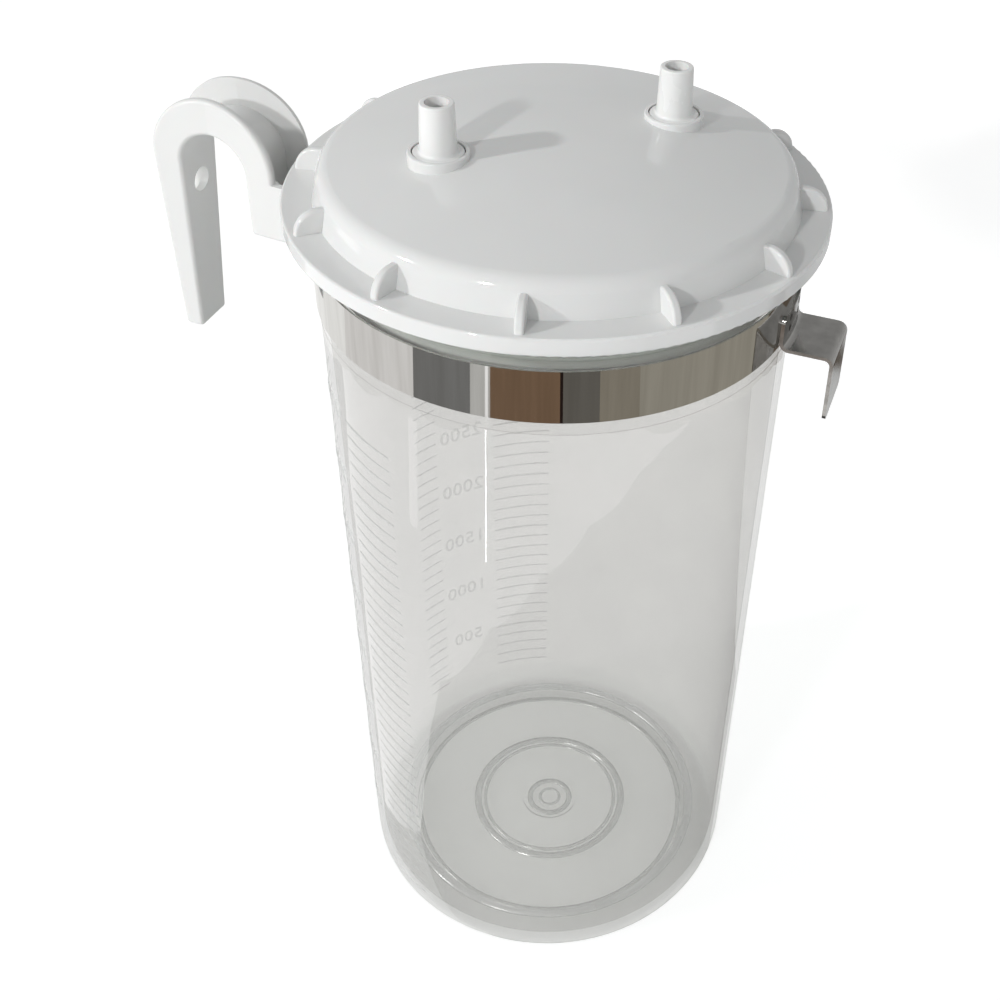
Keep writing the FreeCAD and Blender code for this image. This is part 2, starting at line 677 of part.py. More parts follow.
key_bore = bore_along_x("handle_key_bore", "key_hole_radius", f"{SCREW_SEAT} + handle_web", BEYOND_HANDLE)
screw_bore = bore_along_x(
    "handle_screw_bore", "screw_radius + screw_hole_gap", WALL_BASE, f"{SCREW_SEAT} + handle_web"
)
nut_pocket = bore_along_x(
    "handle_nut_pocket",
    "weld_nut_flats / 2 / cos(30) + weld_nut_gap",
    WALL_BASE,
    f"{BAND_OUTER} + weld_nut_height + weld_nut_gap",
)
hollows = doc.addObject("Part::MultiFuse", "handle_hollows")
hollows.Shapes = [handle_channel, key_bore, screw_bore, nut_pocket]
handle = doc.addObject("Part::Cut", "handle")
handle.Base = handle_blank
handle.Tool = hollows
handle.Placement.Rotation = FreeCAD.Rotation(FreeCAD.Vector(0, 0, 1), 180)
keep(handle, "handle")

# Screw, washer and weld nut that hold the handle on the band
weld_nut = hex_nut("handle_weld_nut", "weld_nut_flats", "weld_nut_height", "screw_core_radius + thread_gap")
keep(at_screw(weld_nut, BAND_OUTER), "handle_weld_nut")
screw_washer = turned(
    "handle_screw_washer",
    [
        ("screw_radius + screw_hole_gap", "0"),
        ("screw_washer_radius", "0"),
        ("screw_washer_radius", "screw_washer_thickness"),
        ("screw_radius + screw_hole_gap", "screw_washer_thickness"),
    ],
)
keep(at_screw(screw_washer, SCREW_SEAT), "handle_screw_washer")
HEAD_SEAT = f"({SCREW_SEAT} + screw_washer_thickness)"
SHANK_STEP = f"({HEAD_SEAT} - {BAND_OUTER} - weld_nut_height - weld_nut_gap)"
SHANK_END = f"({HEAD_SEAT} - {BAND_OUTER} - screw_end_gap)"
screw = turned(
    "handle_screw",
    [
        ("0", f"-{SHANK_END}"),
        ("screw_core_radius", f"-{SHANK_END}"),
        ("screw_core_radius", f"-{SHANK_STEP}"),
        ("screw_radius", f"-{SHANK_STEP}"),
        ("screw_radius", "0"),
        ("screw_head_radius", "0"),
        ("screw_head_radius", "screw_head_height"),
        ("0", "screw_head_height"),
    ],
    roundings=[("screw_head_round", [("screw_head_radius", "screw_head_height")])],
)
SOCKET_ANGLES = (15, 75, 135, 195, 255, 315)
socket_corners = [
    (f"socket_radius * cos({angle})", f"socket_radius * sin({angle})") for angle in SOCKET_ANGLES
]
socket = profile(screw, "XY_Plane", socket_corners, name="socket_outline")
bind(socket, "AttachmentOffset.Base.z", "screw_head_height")
extrude(screw, "Pocket", socket, "socket_depth", name="socket")
keep(at_screw(screw, HEAD_SEAT), "handle_screw")

# Gasket
gasket = turned(
    "lid_gasket",
    [
        (f"{PLUG_RADIUS} + gasket_gap", "0"),
        (NECK_RADIUS, "0"),
        (NECK_RADIUS, "gasket_thickness"),
        (f"{PLUG_RADIUS} + gasket_gap", "gasket_thickness"),
    ],
)
keep(place(gasket, z="jar_height"), "lid_gasket")

# Lid
lid = new_body("lid_shell")
DOME_TOP = f"({LID_FACE} + dome_rise)"
DOME_EDGE = f"({LID_FACE} + dome_edge_rise)"
DOME_ARCH = f"(({SKIRT_TOP} ^ 2 + (dome_rise - dome_edge_rise) ^ 2) / 2 / (dome_rise - dome_edge_rise))"
PLUG_BORE = f"({PLUG_RADIUS} - plug_wall)"
UNDER_ARCH = f"(({PLUG_BORE} ^ 2 + (dome_rise - dome_edge_rise) ^ 2) / 2 / (dome_rise - dome_edge_rise))"
PLUG_BOTTOM = f"({LID_UNDER} - plug_depth)"
RIM_BOTTOM = f"({LID_UNDER} - rim_depth)"
SKIRT_LEAN = f"atan(({SKIRT_BASE} - {SKIRT_TOP}) / dome_edge_rise)"
EDGE_LEAN = f"asin({SKIRT_TOP} / {DOME_ARCH})"
SHOULDER_CUT = f"(shoulder_round * tan((90deg - {SKIRT_LEAN} - {EDGE_LEAN}) / 2))"
SHOULDER_X = f"({SKIRT_TOP} - {SHOULDER_CUT} * cos({EDGE_LEAN}))"
UNDER_LEAN = f"asin({PLUG_BORE} / {UNDER_ARCH})"
UNDER_CUT = f"(shoulder_inner_round * tan((90deg - {UNDER_LEAN}) / 2))"
UNDER_X = f"({PLUG_BORE} - {UNDER_CUT} * cos({UNDER_LEAN}))"
lid_outline = profile(
    lid,
    "XZ_Plane",
    [
        ("0", f"{DOME_TOP} - dome_wall"),
        (UNDER_X, f"{DOME_TOP} - dome_wall - {UNDER_ARCH} + sqrt({UNDER_ARCH} ^ 2 - {UNDER_X} ^ 2)"),
        (PLUG_BORE, f"{DOME_EDGE} - dome_wall - {UNDER_CUT}"),
        (PLUG_BORE, PLUG_BOTTOM),
        (PLUG_RADIUS, PLUG_BOTTOM),
        (PLUG_RADIUS, LID_UNDER),
        (f"{FLANGE_EDGE} - rim_wall", LID_UNDER),
        (f"{FLANGE_EDGE} - rim_wall", RIM_BOTTOM),
        (FLANGE_EDGE, RIM_BOTTOM),
        (FLANGE_EDGE, LID_FACE),
        (SKIRT_BASE, LID_FACE),
        (
            f"{SKIRT_TOP} + {SHOULDER_CUT} * sin({SKIRT_LEAN})",
            f"{DOME_EDGE} - {SHOULDER_CUT} * cos({SKIRT_LEAN})",
        ),
        (SHOULDER_X, f"{DOME_TOP} - {DOME_ARCH} + sqrt({DOME_ARCH} ^ 2 - {SHOULDER_X} ^ 2)"),
        ("0", DOME_TOP),
    ],
    arcs={
        0: (UNDER_ARCH, False, None),
        1: ("shoulder_inner_round", False),
        11: ("shoulder_round", True),
        12: (DOME_ARCH, True, None),
    },
)
shell = turn(lid, lid_outline, name="shell")
flange_edges = on_rings(
    (FLANGE_EDGE, LID_FACE),
    (FLANGE_EDGE, RIM_BOTTOM),
    (PLUG_RADIUS, PLUG_BOTTOM),
    (PLUG_BORE, PLUG_BOTTOM),
)
shell = rounded(lid, shell, "flange_round", flange_edges, name="flange_edges")
collar_centres = [
    ("spigot_offset * cos(spigot_turn)", "spigot_offset * sin(spigot_turn)"),
    ("-spigot_offset * cos(spigot_turn)", "-spigot_offset * sin(spigot_turn)"),
]


def collar_circles(radius, height, name):
    """The same circle at both collars, at one height."""
    sketch = rings(lid, "XY_Plane", [(x, y, radius) for x, y in collar_centres], name)
    bind(sketch, "AttachmentOffset.Base.z", height)
    return sketch


collar_outline = collar_circles("collar_radius", NUT_SEAT, "collar_outline")
collar = extrude(lid, "Pad", collar_outline, f"{COLLAR_TOP} - {NUT_SEAT}", name="collars")
collar_height = number(COLLAR_TOP)
collar_edge = number("collar_radius")


def collar_tops(edge):
    if edge.Curve.TypeId != "Part::GeomCircle":
        return False
    return near(edge.Curve.Radius, collar_edge) and near(edge.Curve.Center.z, collar_height)


rounded(lid, collar, "collar_round", collar_tops, name="collar_rounding")
extrude(
    lid,
    "Pocket",
    collar_circles("collar_recess_radius", COLLAR_TOP, "recess_outline"),
    "collar_recess_depth",
    name="recesses",
)
extrude(
    lid,
    "Pocket",
    collar_circles("spigot_shank_radius + shank_hole_gap", COLLAR_TOP, "hole_outline"),
    f"{COLLAR_TOP} - {NUT_SEAT} + plug_wall",
    name="spigot_holes",
)
lid_ribs = new_body("lid_ribs")
rib_outline = profile(
    lid_ribs,
    "XZ_Plane",
    [
        (f"{SKIRT_TOP} - rib_root", f"{LID_FACE} - lid_plate / 2"),
        (RIB_END, f"{LID_FACE} - lid_plate / 2"),
        (RIB_END, LID_FACE),
        (f"{RIB_END} - rib_rise", f"{LID_FACE} + rib_rise"),
        (f"{SKIRT_TOP} - rib_root", f"{LID_FACE} + rib_rise"),
    ],
    arcs={2: ("rib_rise", True)},
    name="rib_outline",
)
rib = extrude(lid_ribs, "Pad", rib_outline, "rib_thickness", both=True, name="rib")
rib_top = number(f"{LID_FACE} + rib_rise")
rib_foot = number(LID_FACE)
rib_end = number(RIB_END)


def rib_edges(edge):
    """The long edges of the rib along its top and its rounded end."""
    middle = edge.valueAt((edge.FirstParameter + edge.LastParameter) / 2)
    on_top = near(middle.z, rib_top) or (edge.Curve.TypeId == "Part::GeomCircle" and middle.z > rib_foot)
    at_end = near(middle.x, rib_end) and middle.z < rib_foot
    return (on_top or at_end) and not near(middle.y, 0)


rounded(lid_ribs, rib, "rib_round", rib_edges, name="rib_rounding")
ribs = lid_ribs.newObject("PartDesign::PolarPattern", "ribs")
ribs.TransformMode = "Whole shape"
ribs.Axis = (origin_plane(lid_ribs, "Z_Axis"), [""])
ribs.Angle = 360
bind(ribs, "Occurrences", "rib_count")
lid_ribs.Tip = ribs
doc.recompute()
whole_lid = doc.addObject("Part::MultiFuse", "whole_lid")
whole_lid.Shapes = [lid, lid_ribs]
whole_lid.Refine = True
whole_lid.Placement.Rotation = FreeCAD.Rotation(FreeCAD.Vector(0, 0, 1), number("lid_turn"))
bind(whole_lid, "Placement.Rotation.Angle", "lid_turn")
keep(whole_lid, "lid")


def spigot(label, shank_length):
    """A hose spigot with its flange at local z = 0."""
    tip = "(spigot_flange_thickness + spigot_length)"
    return turned(
        label,
        [
            ("spigot_bore_radius", f"-{shank_length}"),
            ("spigot_shank_radius", f"-{shank_length}"),
            ("spigot_shank_radius", "0"),
            ("spigot_flange_radius", "0"),
            ("spigot_flange_radius", "spigot_flange_thickness"),
            ("spigot_root_radius", "spigot_flange_thickness"),
            ("spigot_tip_radius", tip),
            ("spigot_bore_radius", tip),
        ],
        roundings=[
            ("spigot_root_round", [("spigot_root_radius", "spigot_flange_thickness")]),
            ("spigot_tip_round", [("spigot_tip_radius", tip)]),
            ("spigot_tip_round", [("spigot_flange_radius", "spigot_flange_thickness")]),
        ],
    )


def spigot_washer(label):
    inner = "spigot_shank_radius + spigot_washer_gap"
    outer = "collar_recess_radius - spigot_washer_gap"
    return turned(
        label,
        [(inner, "0"), (outer, "0"), (outer, "spigot_washer_thickness"), (inner, "spigot_washer_thickness")],
    )


# Spigots with their washers and lock nuts
for side, angle, shank in (
    ("inlet", INLET_TURN, "inlet_shank_length"),
    ("vacuum", VACUUM_TURN, "vacuum_shank_length"),
):
    keep(at_spigot(spigot(f"{side}_spigot", shank), angle, SPIGOT_SEAT), f"{side}_spigot")
    keep(at_spigot(spigot_washer(f"{side}_spigot_washer"), angle, WASHER_SEAT), f"{side}_spigot_washer")
    nut_bore = "spigot_shank_radius + thread_gap"
    nut = hex_nut(f"{side}_spigot_nut", "lock_nut_flats", "lock_nut_height", nut_bore)
    keep(at_spigot(nut, angle, f"{NUT_SEAT} - lock_nut_height"), f"{side}_spigot_nut")

# Cage of the overflow valve, on the vacuum spigot's shank
CAGE_NECK_BORE = "(spigot_shank_radius + thread_gap)"
cage = turned(
    "valve_cage",
    [
        (CAGE_NECK_BORE, "cage_height + cage_neck_height"),
        (CAGE_NECK_BORE, "cage_height - cage_top"),
        (CAGE_BORE, "cage_height - cage_top"),
        (CAGE_BORE, "0"),
        ("cage_radius", "0"),
        ("cage_radius", "cage_height"),
        ("cage_neck_radius", "cage_height"),
        ("cage_neck_radius", "cage_height + cage_neck_height"),
    ],
)
for role in ("XZ_Plane", "YZ_Plane"):
    window = profile(
        cage,
        role,
        [
            ("-cage_window_width / 2", "cage_window_sill"),
            ("cage_window_width / 2", "cage_window_sill"),
            ("cage_window_width / 2", "cage_height - cage_top - cage_window_sill"),
            ("-cage_window_width / 2", "cage_height - cage_top - cage_window_sill"),
        ],
        name="window",
    )
    extrude(cage, "Pocket", window, "4 * cage_radius", both=True, name="windows")
keep(at_spigot(cage, VACUUM_TURN, CAGE_BOTTOM), "valve_cage")

cage_base = turned(
    "valve_cage_base",
    [
        ("0", "-cage_base_thickness"),
        ("cage_radius", "-cage_base_thickness"),
        ("cage_radius", "0"),
        (f"{CAGE_BORE} - cage_base_gap", "0"),
        (f"{CAGE_BORE} - cage_base_gap", "cage_base_plug"),
        ("0", "cage_base_plug"),
    ],
)
holes = rings(cage_base, "XY_Plane", [("cage_hole_offset", "0", "cage_hole_radius")], "outer_hole")
hole = extrude(cage_base, "Pocket", holes, None, both=True, name="hole")
hole_ring = cage_base.newObject("PartDesign::PolarPattern", "hole_ring")
hole_ring.Originals = [hole]
hole_ring.Axis = (origin_plane(cage_base, "Z_Axis"), [""])
hole_ring.Angle = 360
bind(hole_ring, "Occurrences", "cage_hole_count")
cage_base.Tip = hole_ring
doc.recompute()
middle_hole = rings(cage_base, "XY_Plane", [("0", "0", "cage_hole_radius")], "middle_hole")
extrude(cage_base, "Pocket", middle_hole, None, both=True, name="middle")
keep(at_spigot(cage_base, VACUUM_TURN, CAGE_BOTTOM), "valve_cage_base")

# Float and its rubber pad
FLOAT_RADIUS = f"({CAGE_BORE} - float_gap)"
valve_float = turned(
    "float",
    [
        ("0", "0"),
        (FLOAT_RADIUS, "0"),
        (FLOAT_RADIUS, "float_height"),
        ("float_pin_radius", "float_height"),
        ("float_pin_radius", "float_height + float_pin_height"),
        ("0", "float_height + float_pin_height"),
    ],
    roundings=[("float_round", [(FLOAT_RADIUS, "0"), (FLOAT_RADIUS, "float_height")])],
)
keep(at_spigot(valve_float, VACUUM_TURN, FLOAT_BOTTOM), "float")
seal = turned(
    "float_seal",
    [
        ("float_pin_radius + seal_gap", "0"),
        ("seal_radius", "0"),
        ("seal_radius", "seal_thickness"),
        ("float_pin_radius + seal_gap", "seal_thickness"),
    ],
)
keep(at_spigot(seal, VACUUM_TURN, FLOAT_TOP), "float_seal")

# Check every object, then write one file for each piece
doc.recompute()
for item in doc.Objects:
    if "Invalid" in item.State or "Error" in item.State:
        raise RuntimeError(f"{item.Label} could not be built")
for item in nodes:
    if item.Shape.isNull() or not item.Shape.isValid():
        raise RuntimeError(f"{item.Label} has no valid shape")
os.makedirs("parts", exist_ok=True)
for item in nodes:
    item.Shape.exportStep(f"parts/{item.Label}.step")
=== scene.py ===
import math

import bmesh
import bpy
from mathutils import Matrix, Vector


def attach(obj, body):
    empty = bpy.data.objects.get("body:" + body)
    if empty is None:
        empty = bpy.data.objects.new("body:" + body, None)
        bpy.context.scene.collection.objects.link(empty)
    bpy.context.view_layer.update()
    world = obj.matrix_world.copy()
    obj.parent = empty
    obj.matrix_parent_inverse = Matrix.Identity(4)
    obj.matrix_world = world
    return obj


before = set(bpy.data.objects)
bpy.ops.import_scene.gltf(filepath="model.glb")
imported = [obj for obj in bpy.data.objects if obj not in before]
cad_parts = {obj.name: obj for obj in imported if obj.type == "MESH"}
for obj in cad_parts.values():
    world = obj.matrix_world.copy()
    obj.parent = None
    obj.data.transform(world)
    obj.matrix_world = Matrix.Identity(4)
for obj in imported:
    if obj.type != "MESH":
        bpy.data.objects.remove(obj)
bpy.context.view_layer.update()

MM = 0.001
WHITE = (1.0, 1.0, 1.0, 1.0)
scene = bpy.context.scene
scene.view_settings.view_transform = "Standard"

# Sizes of the jar, in millimetres
WALL_BASE_RADIUS = 74.6
WALL_TOP_RADIUS = 78.0
NECK_START = 265.5
WALL_THICKNESS = 2.4
FLOOR_TOP = 5.5
FOOT_LIFT = 1.8
CENTRE_LIFT = 1.0
GATE_FACE = 1.8
BAND_RADIUS = 79.02
BAND_TOP = 288.5
JAR_HEIGHT = 300.0

# Painted shade in the jar's plastic, by height: its sole, its foot and floor darker as shade at the foot,
# and its neck darker, standing for the lid's plug in the flange's shadow behind it
SOLE_SHADE_TOP = 0.3
SOLE_SHADE_END = 0.8
SOLE_SHADE = (0.84, 0.842, 0.84, 1.0)
FOOT_SHADE_TOP = 5.4
FOOT_SHADE_END = 10.0
FOOT_SHADE = (0.975, 0.978, 0.977, 1.0)
NECK_SHADE_START = BAND_TOP + 1.0
NECK_SHADE = (0.84, 0.86, 0.83, 1.0)

# Milky plastic. Its wall barely bends the light: a real index turns the inner edges into dark lines.
SEE_THROUGH_INDEX = 1.0003
MOST_GLOSS = 0.3
MILK_LOW = (0.84, 0.85, 0.85)
MILK_HIGH = (0.88, 0.885, 0.88)
MILK_ROUGHNESS = 0.5
MILK_BACK = (0.86, 0.865, 0.86, 1.0)
MILK_BACK_SHARE = 0.5
MILK_SHADE = (0.93, 0.935, 0.93, 1.0)

# The moulded scale, in cubic millimetres, degrees and millimetres
STEP_VOLUME = 100000.0
STEP_LABEL = 100
STEPS = 40
STEPS_PER_NUMBER = 5
VOLUME_SLICES = 20
FLOOR_CORNER_LOSS = 0.2
LONG_TICK = (112.0, 130.0)
NUMBER_ANGLE = 141.0
SHORT_TICK = (150.0, 158.0)
MAIN_LINE = (0.95, 0.34)
FINE_LINE = (0.75, 0.24)
LINE_SECTION = ((-0.5, None), (-0.3, 0.8), (0.0, 1.0), (0.3, 0.8), (0.5, None))
LINE_PARTS_PER_DEGREE = 1.2
FEWEST_LINE_PARTS = 4
LINE_END_FADE = 4.0
LINE_END_HEIGHT = 0.25
DIGIT_HEIGHT = 6.6
FONT_SIZE_PER_HEIGHT = 1.42
DIGIT_SPACING = 1.06
DIGIT_DEPTH = 0.28
DIGIT_BEVEL = 0.06
DIGIT_CURVE_STEPS = 4
RELIEF_SINK = 0.03

# Camera, from the photograph
CAMERA_PLACE = (138.53, -380.62, 518.59)
CAMERA_FORWARD = (-0.23133, 0.76964, -0.59510)
CAMERA_RIGHT = (0.94799, 0.31578, 0.03989)
FOCAL_PIXELS = 1421.34
PRINCIPAL_X = 620.90
PRINCIPAL_Y = 406.91
PICTURE_SIZE = 1000.0
SENSOR_WIDTH = 36.0
CLIP_START = 0.01
CLIP_END = 50.0


def around(radius, angle, z):
    """A point at a radius, an angle and a height about the jar's axis, from millimetres."""
    return Vector((radius * math.cos(angle), radius * math.sin(angle), z)) * MM


def wall_radius(z):
    """Outer radius of the jar's wall at a height."""
    share = min(max(z / NECK_START, 0.0), 1.0)
    return WALL_BASE_RADIUS + (WALL_TOP_RADIUS - WALL_BASE_RADIUS) * share


def scale_heights():
    """Heights of the liquid at each step of the scale, from the jar's inner volume."""
    heights = []
    z = FLOOR_TOP + FLOOR_CORNER_LOSS
    for _ in range(STEPS):
        for _ in range(VOLUME_SLICES):
            inner_area = math.pi * (wall_radius(z) - WALL_THICKNESS) ** 2
            z += STEP_VOLUME / VOLUME_SLICES / inner_area
        heights.append(z)
    return heights


def on_wall(angle, z, lift):
    """A point on the wall's outside, lifted off it by some millimetres."""
    return around(wall_radius(z) + lift, angle, z)


def finished(form, name, outward=True):
    """Turn a form into a named mesh, with its faces turned outward unless they already are."""
    if outward:
        bmesh.ops.recalc_face_normals(form, faces=form.faces)
    mesh = bpy.data.meshes.new(name)
    form.to_mesh(mesh)
    form.free()
    return mesh


def add_mesh(name, mesh, body, material):
    """Add a smooth piece that rides a body and fills a material slot."""
    piece = bpy.data.objects.new(name, mesh)
    scene.collection.objects.link(piece)
    mesh.materials.clear()
    mesh.materials.append(material)
    for polygon in mesh.polygons:
        polygon.use_smooth = True
    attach(piece, body)
    return piece


# Materials


def new_material(name):
    """A new material with its nodes, its links and its main shader."""
    material = bpy.data.materials.new(name)
    material.use_nodes = True
    nodes = material.node_tree.nodes
    shader = nodes["Principled BSDF"]
    return material, nodes, material.node_tree.links, shader


def noise(nodes, links, scale, detail=3.0, stretch=(1.0, 1.0, 1.0)):
    """Noise in the object's own metres, stretched along its axes."""
    place = nodes.new("ShaderNodeTexCoord")
    mapping = nodes.new("ShaderNodeMapping")
    mapping.inputs["Scale"].default_value = stretch
    texture = nodes.new("ShaderNodeTexNoise")
    texture.inputs["Scale"].default_value = scale
    texture.inputs["Detail"].default_value = detail
    links.new(place.outputs["Object"], mapping.inputs["Vector"])
    links.new(mapping.outputs["Vector"], texture.inputs["Vector"])
    return texture.outputs["Fac"]


def ramp(nodes, links, source, low, high, start=0.35, end=0.65):
    """A colour that moves from low to high as the source rises."""
    item = nodes.new("ShaderNodeValToRGB")
    item.color_ramp.elements[0].position = start
    item.color_ramp.elements[1].position = end
    item.color_ramp.elements[0].color = (*low, 1.0)
    item.color_ramp.elements[1].color = (*high, 1.0)
    links.new(source, item.inputs["Fac"])
    return item.outputs["Color"]


def spread(nodes, links, source, low, high, start=0.3, end=0.7):
    """A number that moves from low to high as the source rises."""
    item = nodes.new("ShaderNodeMapRange")
    item.inputs["From Min"].default_value = start
    item.inputs["From Max"].default_value = end
    item.inputs["To Min"].default_value = low
    item.inputs["To Max"].default_value = high
    links.new(source, item.inputs["Value"])
    return item.outputs["Result"]


def arithmetic(nodes, links, operation, first, second, clamp=False):
    """One step of arithmetic on a socket and a socket or a number."""
    item = nodes.new("ShaderNodeMath")
    item.operation = operation
    item.use_clamp = clamp
    links.new(first, item.inputs[0])
    if isinstance(second, float):
        item.inputs[1].default_value = second
    else:
        links.new(second, item.inputs[1])
    return item.outputs["Value"]


def mixed(nodes, links, share, first, second):
    """Two shaders mixed by a share, which is a socket or a number."""
    item = nodes.new("ShaderNodeMixShader")
    if isinstance(share, float):
        item.inputs["Fac"].default_value = share
    else:
        links.new(share, item.inputs["Fac"])
    links.new(first, item.inputs[1])
    links.new(second, item.inputs[2])
    return item.outputs["Shader"]


def either_ray(nodes, links, first, second):
    """One for two kinds of ray, nothing for all others."""
    path = nodes.new("ShaderNodeLightPath")
    return arithmetic(nodes, links, "MAXIMUM", path.outputs[first], path.outputs[second])


def bump(nodes, links, shader, source, strength, distance):
    """Give a shader a fine relief from a source."""
    item = nodes.new("ShaderNodeBump")
    item.inputs["Strength"].default_value = strength
    item.inputs["Distance"].default_value = distance
    links.new(source, item.inputs["Height"])
    links.new(item.outputs["Normal"], shader.inputs["Normal"])


def moulded(name, low, high, rough_low, rough_high, grain=0.00004, subsurface=0.0, index=1.49):
    """Moulded plastic: a faint drift in colour, uneven gloss and a fine skin."""
    material, nodes, links, shader = new_material(name)
    drift = noise(nodes, links, 14.0)
    links.new(ramp(nodes, links, drift, low, high), shader.inputs["Base Color"])
    scuffs = noise(nodes, links, 90.0, 6.0, (1.0, 1.0, 0.35))
    links.new(spread(nodes, links, scuffs, rough_low, rough_high), shader.inputs["Roughness"])
    bump(nodes, links, shader, noise(nodes, links, 900.0, 2.0), 0.35, grain)
    shader.inputs["IOR"].default_value = index
    shader.inputs["Subsurface Weight"].default_value = subsurface
    shader.inputs["Subsurface Scale"].default_value = 0.002
    return material


def painted_shade_by_height(nodes, links):
    """A tint by height that paints shade: darker in the foot, and in the neck, where it stands for the
    lid's plug in the flange's shadow behind it.
    """
    place = nodes.new("ShaderNodeTexCoord")
    parts = nodes.new("ShaderNodeSeparateXYZ")
    level = nodes.new("ShaderNodeMapRange")
    level.inputs["From Max"].default_value = JAR_HEIGHT * MM
    tone = nodes.new("ShaderNodeValToRGB")
    stops = tone.color_ramp.elements
    stops[0].position = SOLE_SHADE_TOP / JAR_HEIGHT
    stops[0].color = SOLE_SHADE
    stops[1].position = 1.0
    stops[1].color = NECK_SHADE
    stops.new(SOLE_SHADE_END / JAR_HEIGHT).color = FOOT_SHADE
    stops.new(FOOT_SHADE_TOP / JAR_HEIGHT).color = FOOT_SHADE
    stops.new(FOOT_SHADE_END / JAR_HEIGHT).color = WHITE
    stops.new(BAND_TOP / JAR_HEIGHT).color = WHITE
    stops.new(NECK_SHADE_START / JAR_HEIGHT).color = NECK_SHADE
    links.new(place.outputs["Object"], parts.inputs["Vector"])
    links.new(parts.outputs["Z"], level.inputs["Value"])
    links.new(level.outputs["Result"], tone.inputs["Fac"])
    return tone.outputs["Color"]


def outer_skin(nodes, links):
    """One on the outside of the wall and on the floor, nothing on the wall's inside."""
    place = nodes.new("ShaderNodeTexCoord")
    parts = nodes.new("ShaderNodeSeparateXYZ")
    links.new(place.outputs["Object"], parts.inputs["Vector"])
    flat = nodes.new("ShaderNodeCombineXYZ")
    links.new(parts.outputs["X"], flat.inputs["X"])
    links.new(parts.outputs["Y"], flat.inputs["Y"])
    reach = nodes.new("ShaderNodeVectorMath")
    reach.operation = "LENGTH"
    links.new(flat.outputs["Vector"], reach.inputs[0])
    taper = (WALL_TOP_RADIUS - WALL_BASE_RADIUS) / NECK_START
    middle = (WALL_BASE_RADIUS - WALL_THICKNESS / 2) * MM
    lean = arithmetic(nodes, links, "MULTIPLY", parts.outputs["Z"], taper)
    beyond = arithmetic(nodes, links, "SUBTRACT", reach.outputs["Value"], lean)
    outer = arithmetic(nodes, links, "GREATER_THAN", beyond, middle)
    low = arithmetic(nodes, links, "LESS_THAN", parts.outputs["Z"], FOOT_SHADE_END * MM)
    return arithmetic(nodes, links, "MAXIMUM", outer, low)


def milky(name, tints, shares, roughness, wave, shine=1.4, skin=False):
    """Pale plastic in a thin wall: mostly seen through, faintly milky, glossy outside.

    Tints, shares of milk and roughness are each a low and a high end. With skin on, the gloss is
    left off the wall's inside.
    """
    material, nodes, links, body = new_material(name)
    drift = noise(nodes, links, 9.0, 2.0, (1.0, 1.0, 0.4))
    haze = noise(nodes, links, 40.0, 4.0)
    ripple = noise(nodes, links, 26.0, 1.0, (1.0, 1.0, 0.3))

    # The milk: lit from both sides, with no shine of its own
    links.new(ramp(nodes, links, drift, MILK_LOW, MILK_HIGH), body.inputs["Base Color"])
    body.inputs["Roughness"].default_value = MILK_ROUGHNESS
    body.inputs["Specular IOR Level"].default_value = 0.0
    back = nodes.new("ShaderNodeBsdfTranslucent")
    back.inputs["Color"].default_value = MILK_BACK
    cloud = mixed(nodes, links, MILK_BACK_SHARE, body.outputs["BSDF"], back.outputs["BSDF"])

    # The clear part, tinted by drift, and by height with painted shade
    clear = nodes.new("ShaderNodeBsdfRefraction")
    clear.inputs["IOR"].default_value = SEE_THROUGH_INDEX
    clear.inputs["Roughness"].default_value = 0.0
    tint = nodes.new("ShaderNodeMixRGB")
    tint.blend_type = "MULTIPLY"
    tint.inputs["Fac"].default_value = 1.0
    links.new(ramp(nodes, links, drift, *tints), tint.inputs["Color1"])
    links.new(painted_shade_by_height(nodes, links), tint.inputs["Color2"])
    links.new(tint.outputs["Color"], clear.inputs["Color"])
    wall = mixed(nodes, links, spread(nodes, links, haze, *shares), clear.outputs["BSDF"], cloud)

    # The gloss: stronger at a slant up to a limit, and only where the surface is met from outside
    gloss = nodes.new("ShaderNodeBsdfGlossy")
    gloss.inputs["Color"].default_value = WHITE
    links.new(spread(nodes, links, haze, *roughness), gloss.inputs["Roughness"])
    bump(nodes, links, gloss, ripple, 0.4, wave)
    edge = nodes.new("ShaderNodeFresnel")
    edge.inputs["IOR"].default_value = shine
    face = nodes.new("ShaderNodeNewGeometry")
    outside = arithmetic(
        nodes, links, "SUBTRACT", edge.outputs["Fac"], face.outputs["Backfacing"], clamp=True,
    )
    most = arithmetic(nodes, links, "MINIMUM", outside, MOST_GLOSS)
    if skin:
        most = arithmetic(nodes, links, "MULTIPLY", most, outer_skin(nodes, links))
    glossy_wall = mixed(nodes, links, most, wall, gloss.outputs["BSDF"])

    # Light that only passes by on its way to or from something else goes straight through
    passing = either_ray(nodes, links, "Is Shadow Ray", "Is Diffuse Ray")
    through = nodes.new("ShaderNodeBsdfTransparent")
    through.inputs["Color"].default_value = MILK_SHADE
    whole = mixed(nodes, links, passing, glossy_wall, through.outputs["BSDF"])
    links.new(whole, nodes["Material Output"].inputs["Surface"])
    return material


def metal(name, low, high, rough_low, rough_high, stretch, brush):
    """Stainless sheet: drawn lines, uneven polish and a faint drift in tone."""
    material, nodes, links, shader = new_material(name)
    lines = noise(nodes, links, 130.0, 6.0, stretch)
    links.new(ramp(nodes, links, lines, low, high), shader.inputs["Base Color"])
    polish = noise(nodes, links, 35.0, 5.0)
    links.new(spread(nodes, links, polish, rough_low, rough_high), shader.inputs["Roughness"])
    bump(nodes, links, shader, lines, 0.25, brush)
    shader.inputs["Metallic"].default_value = 1.0
    return material


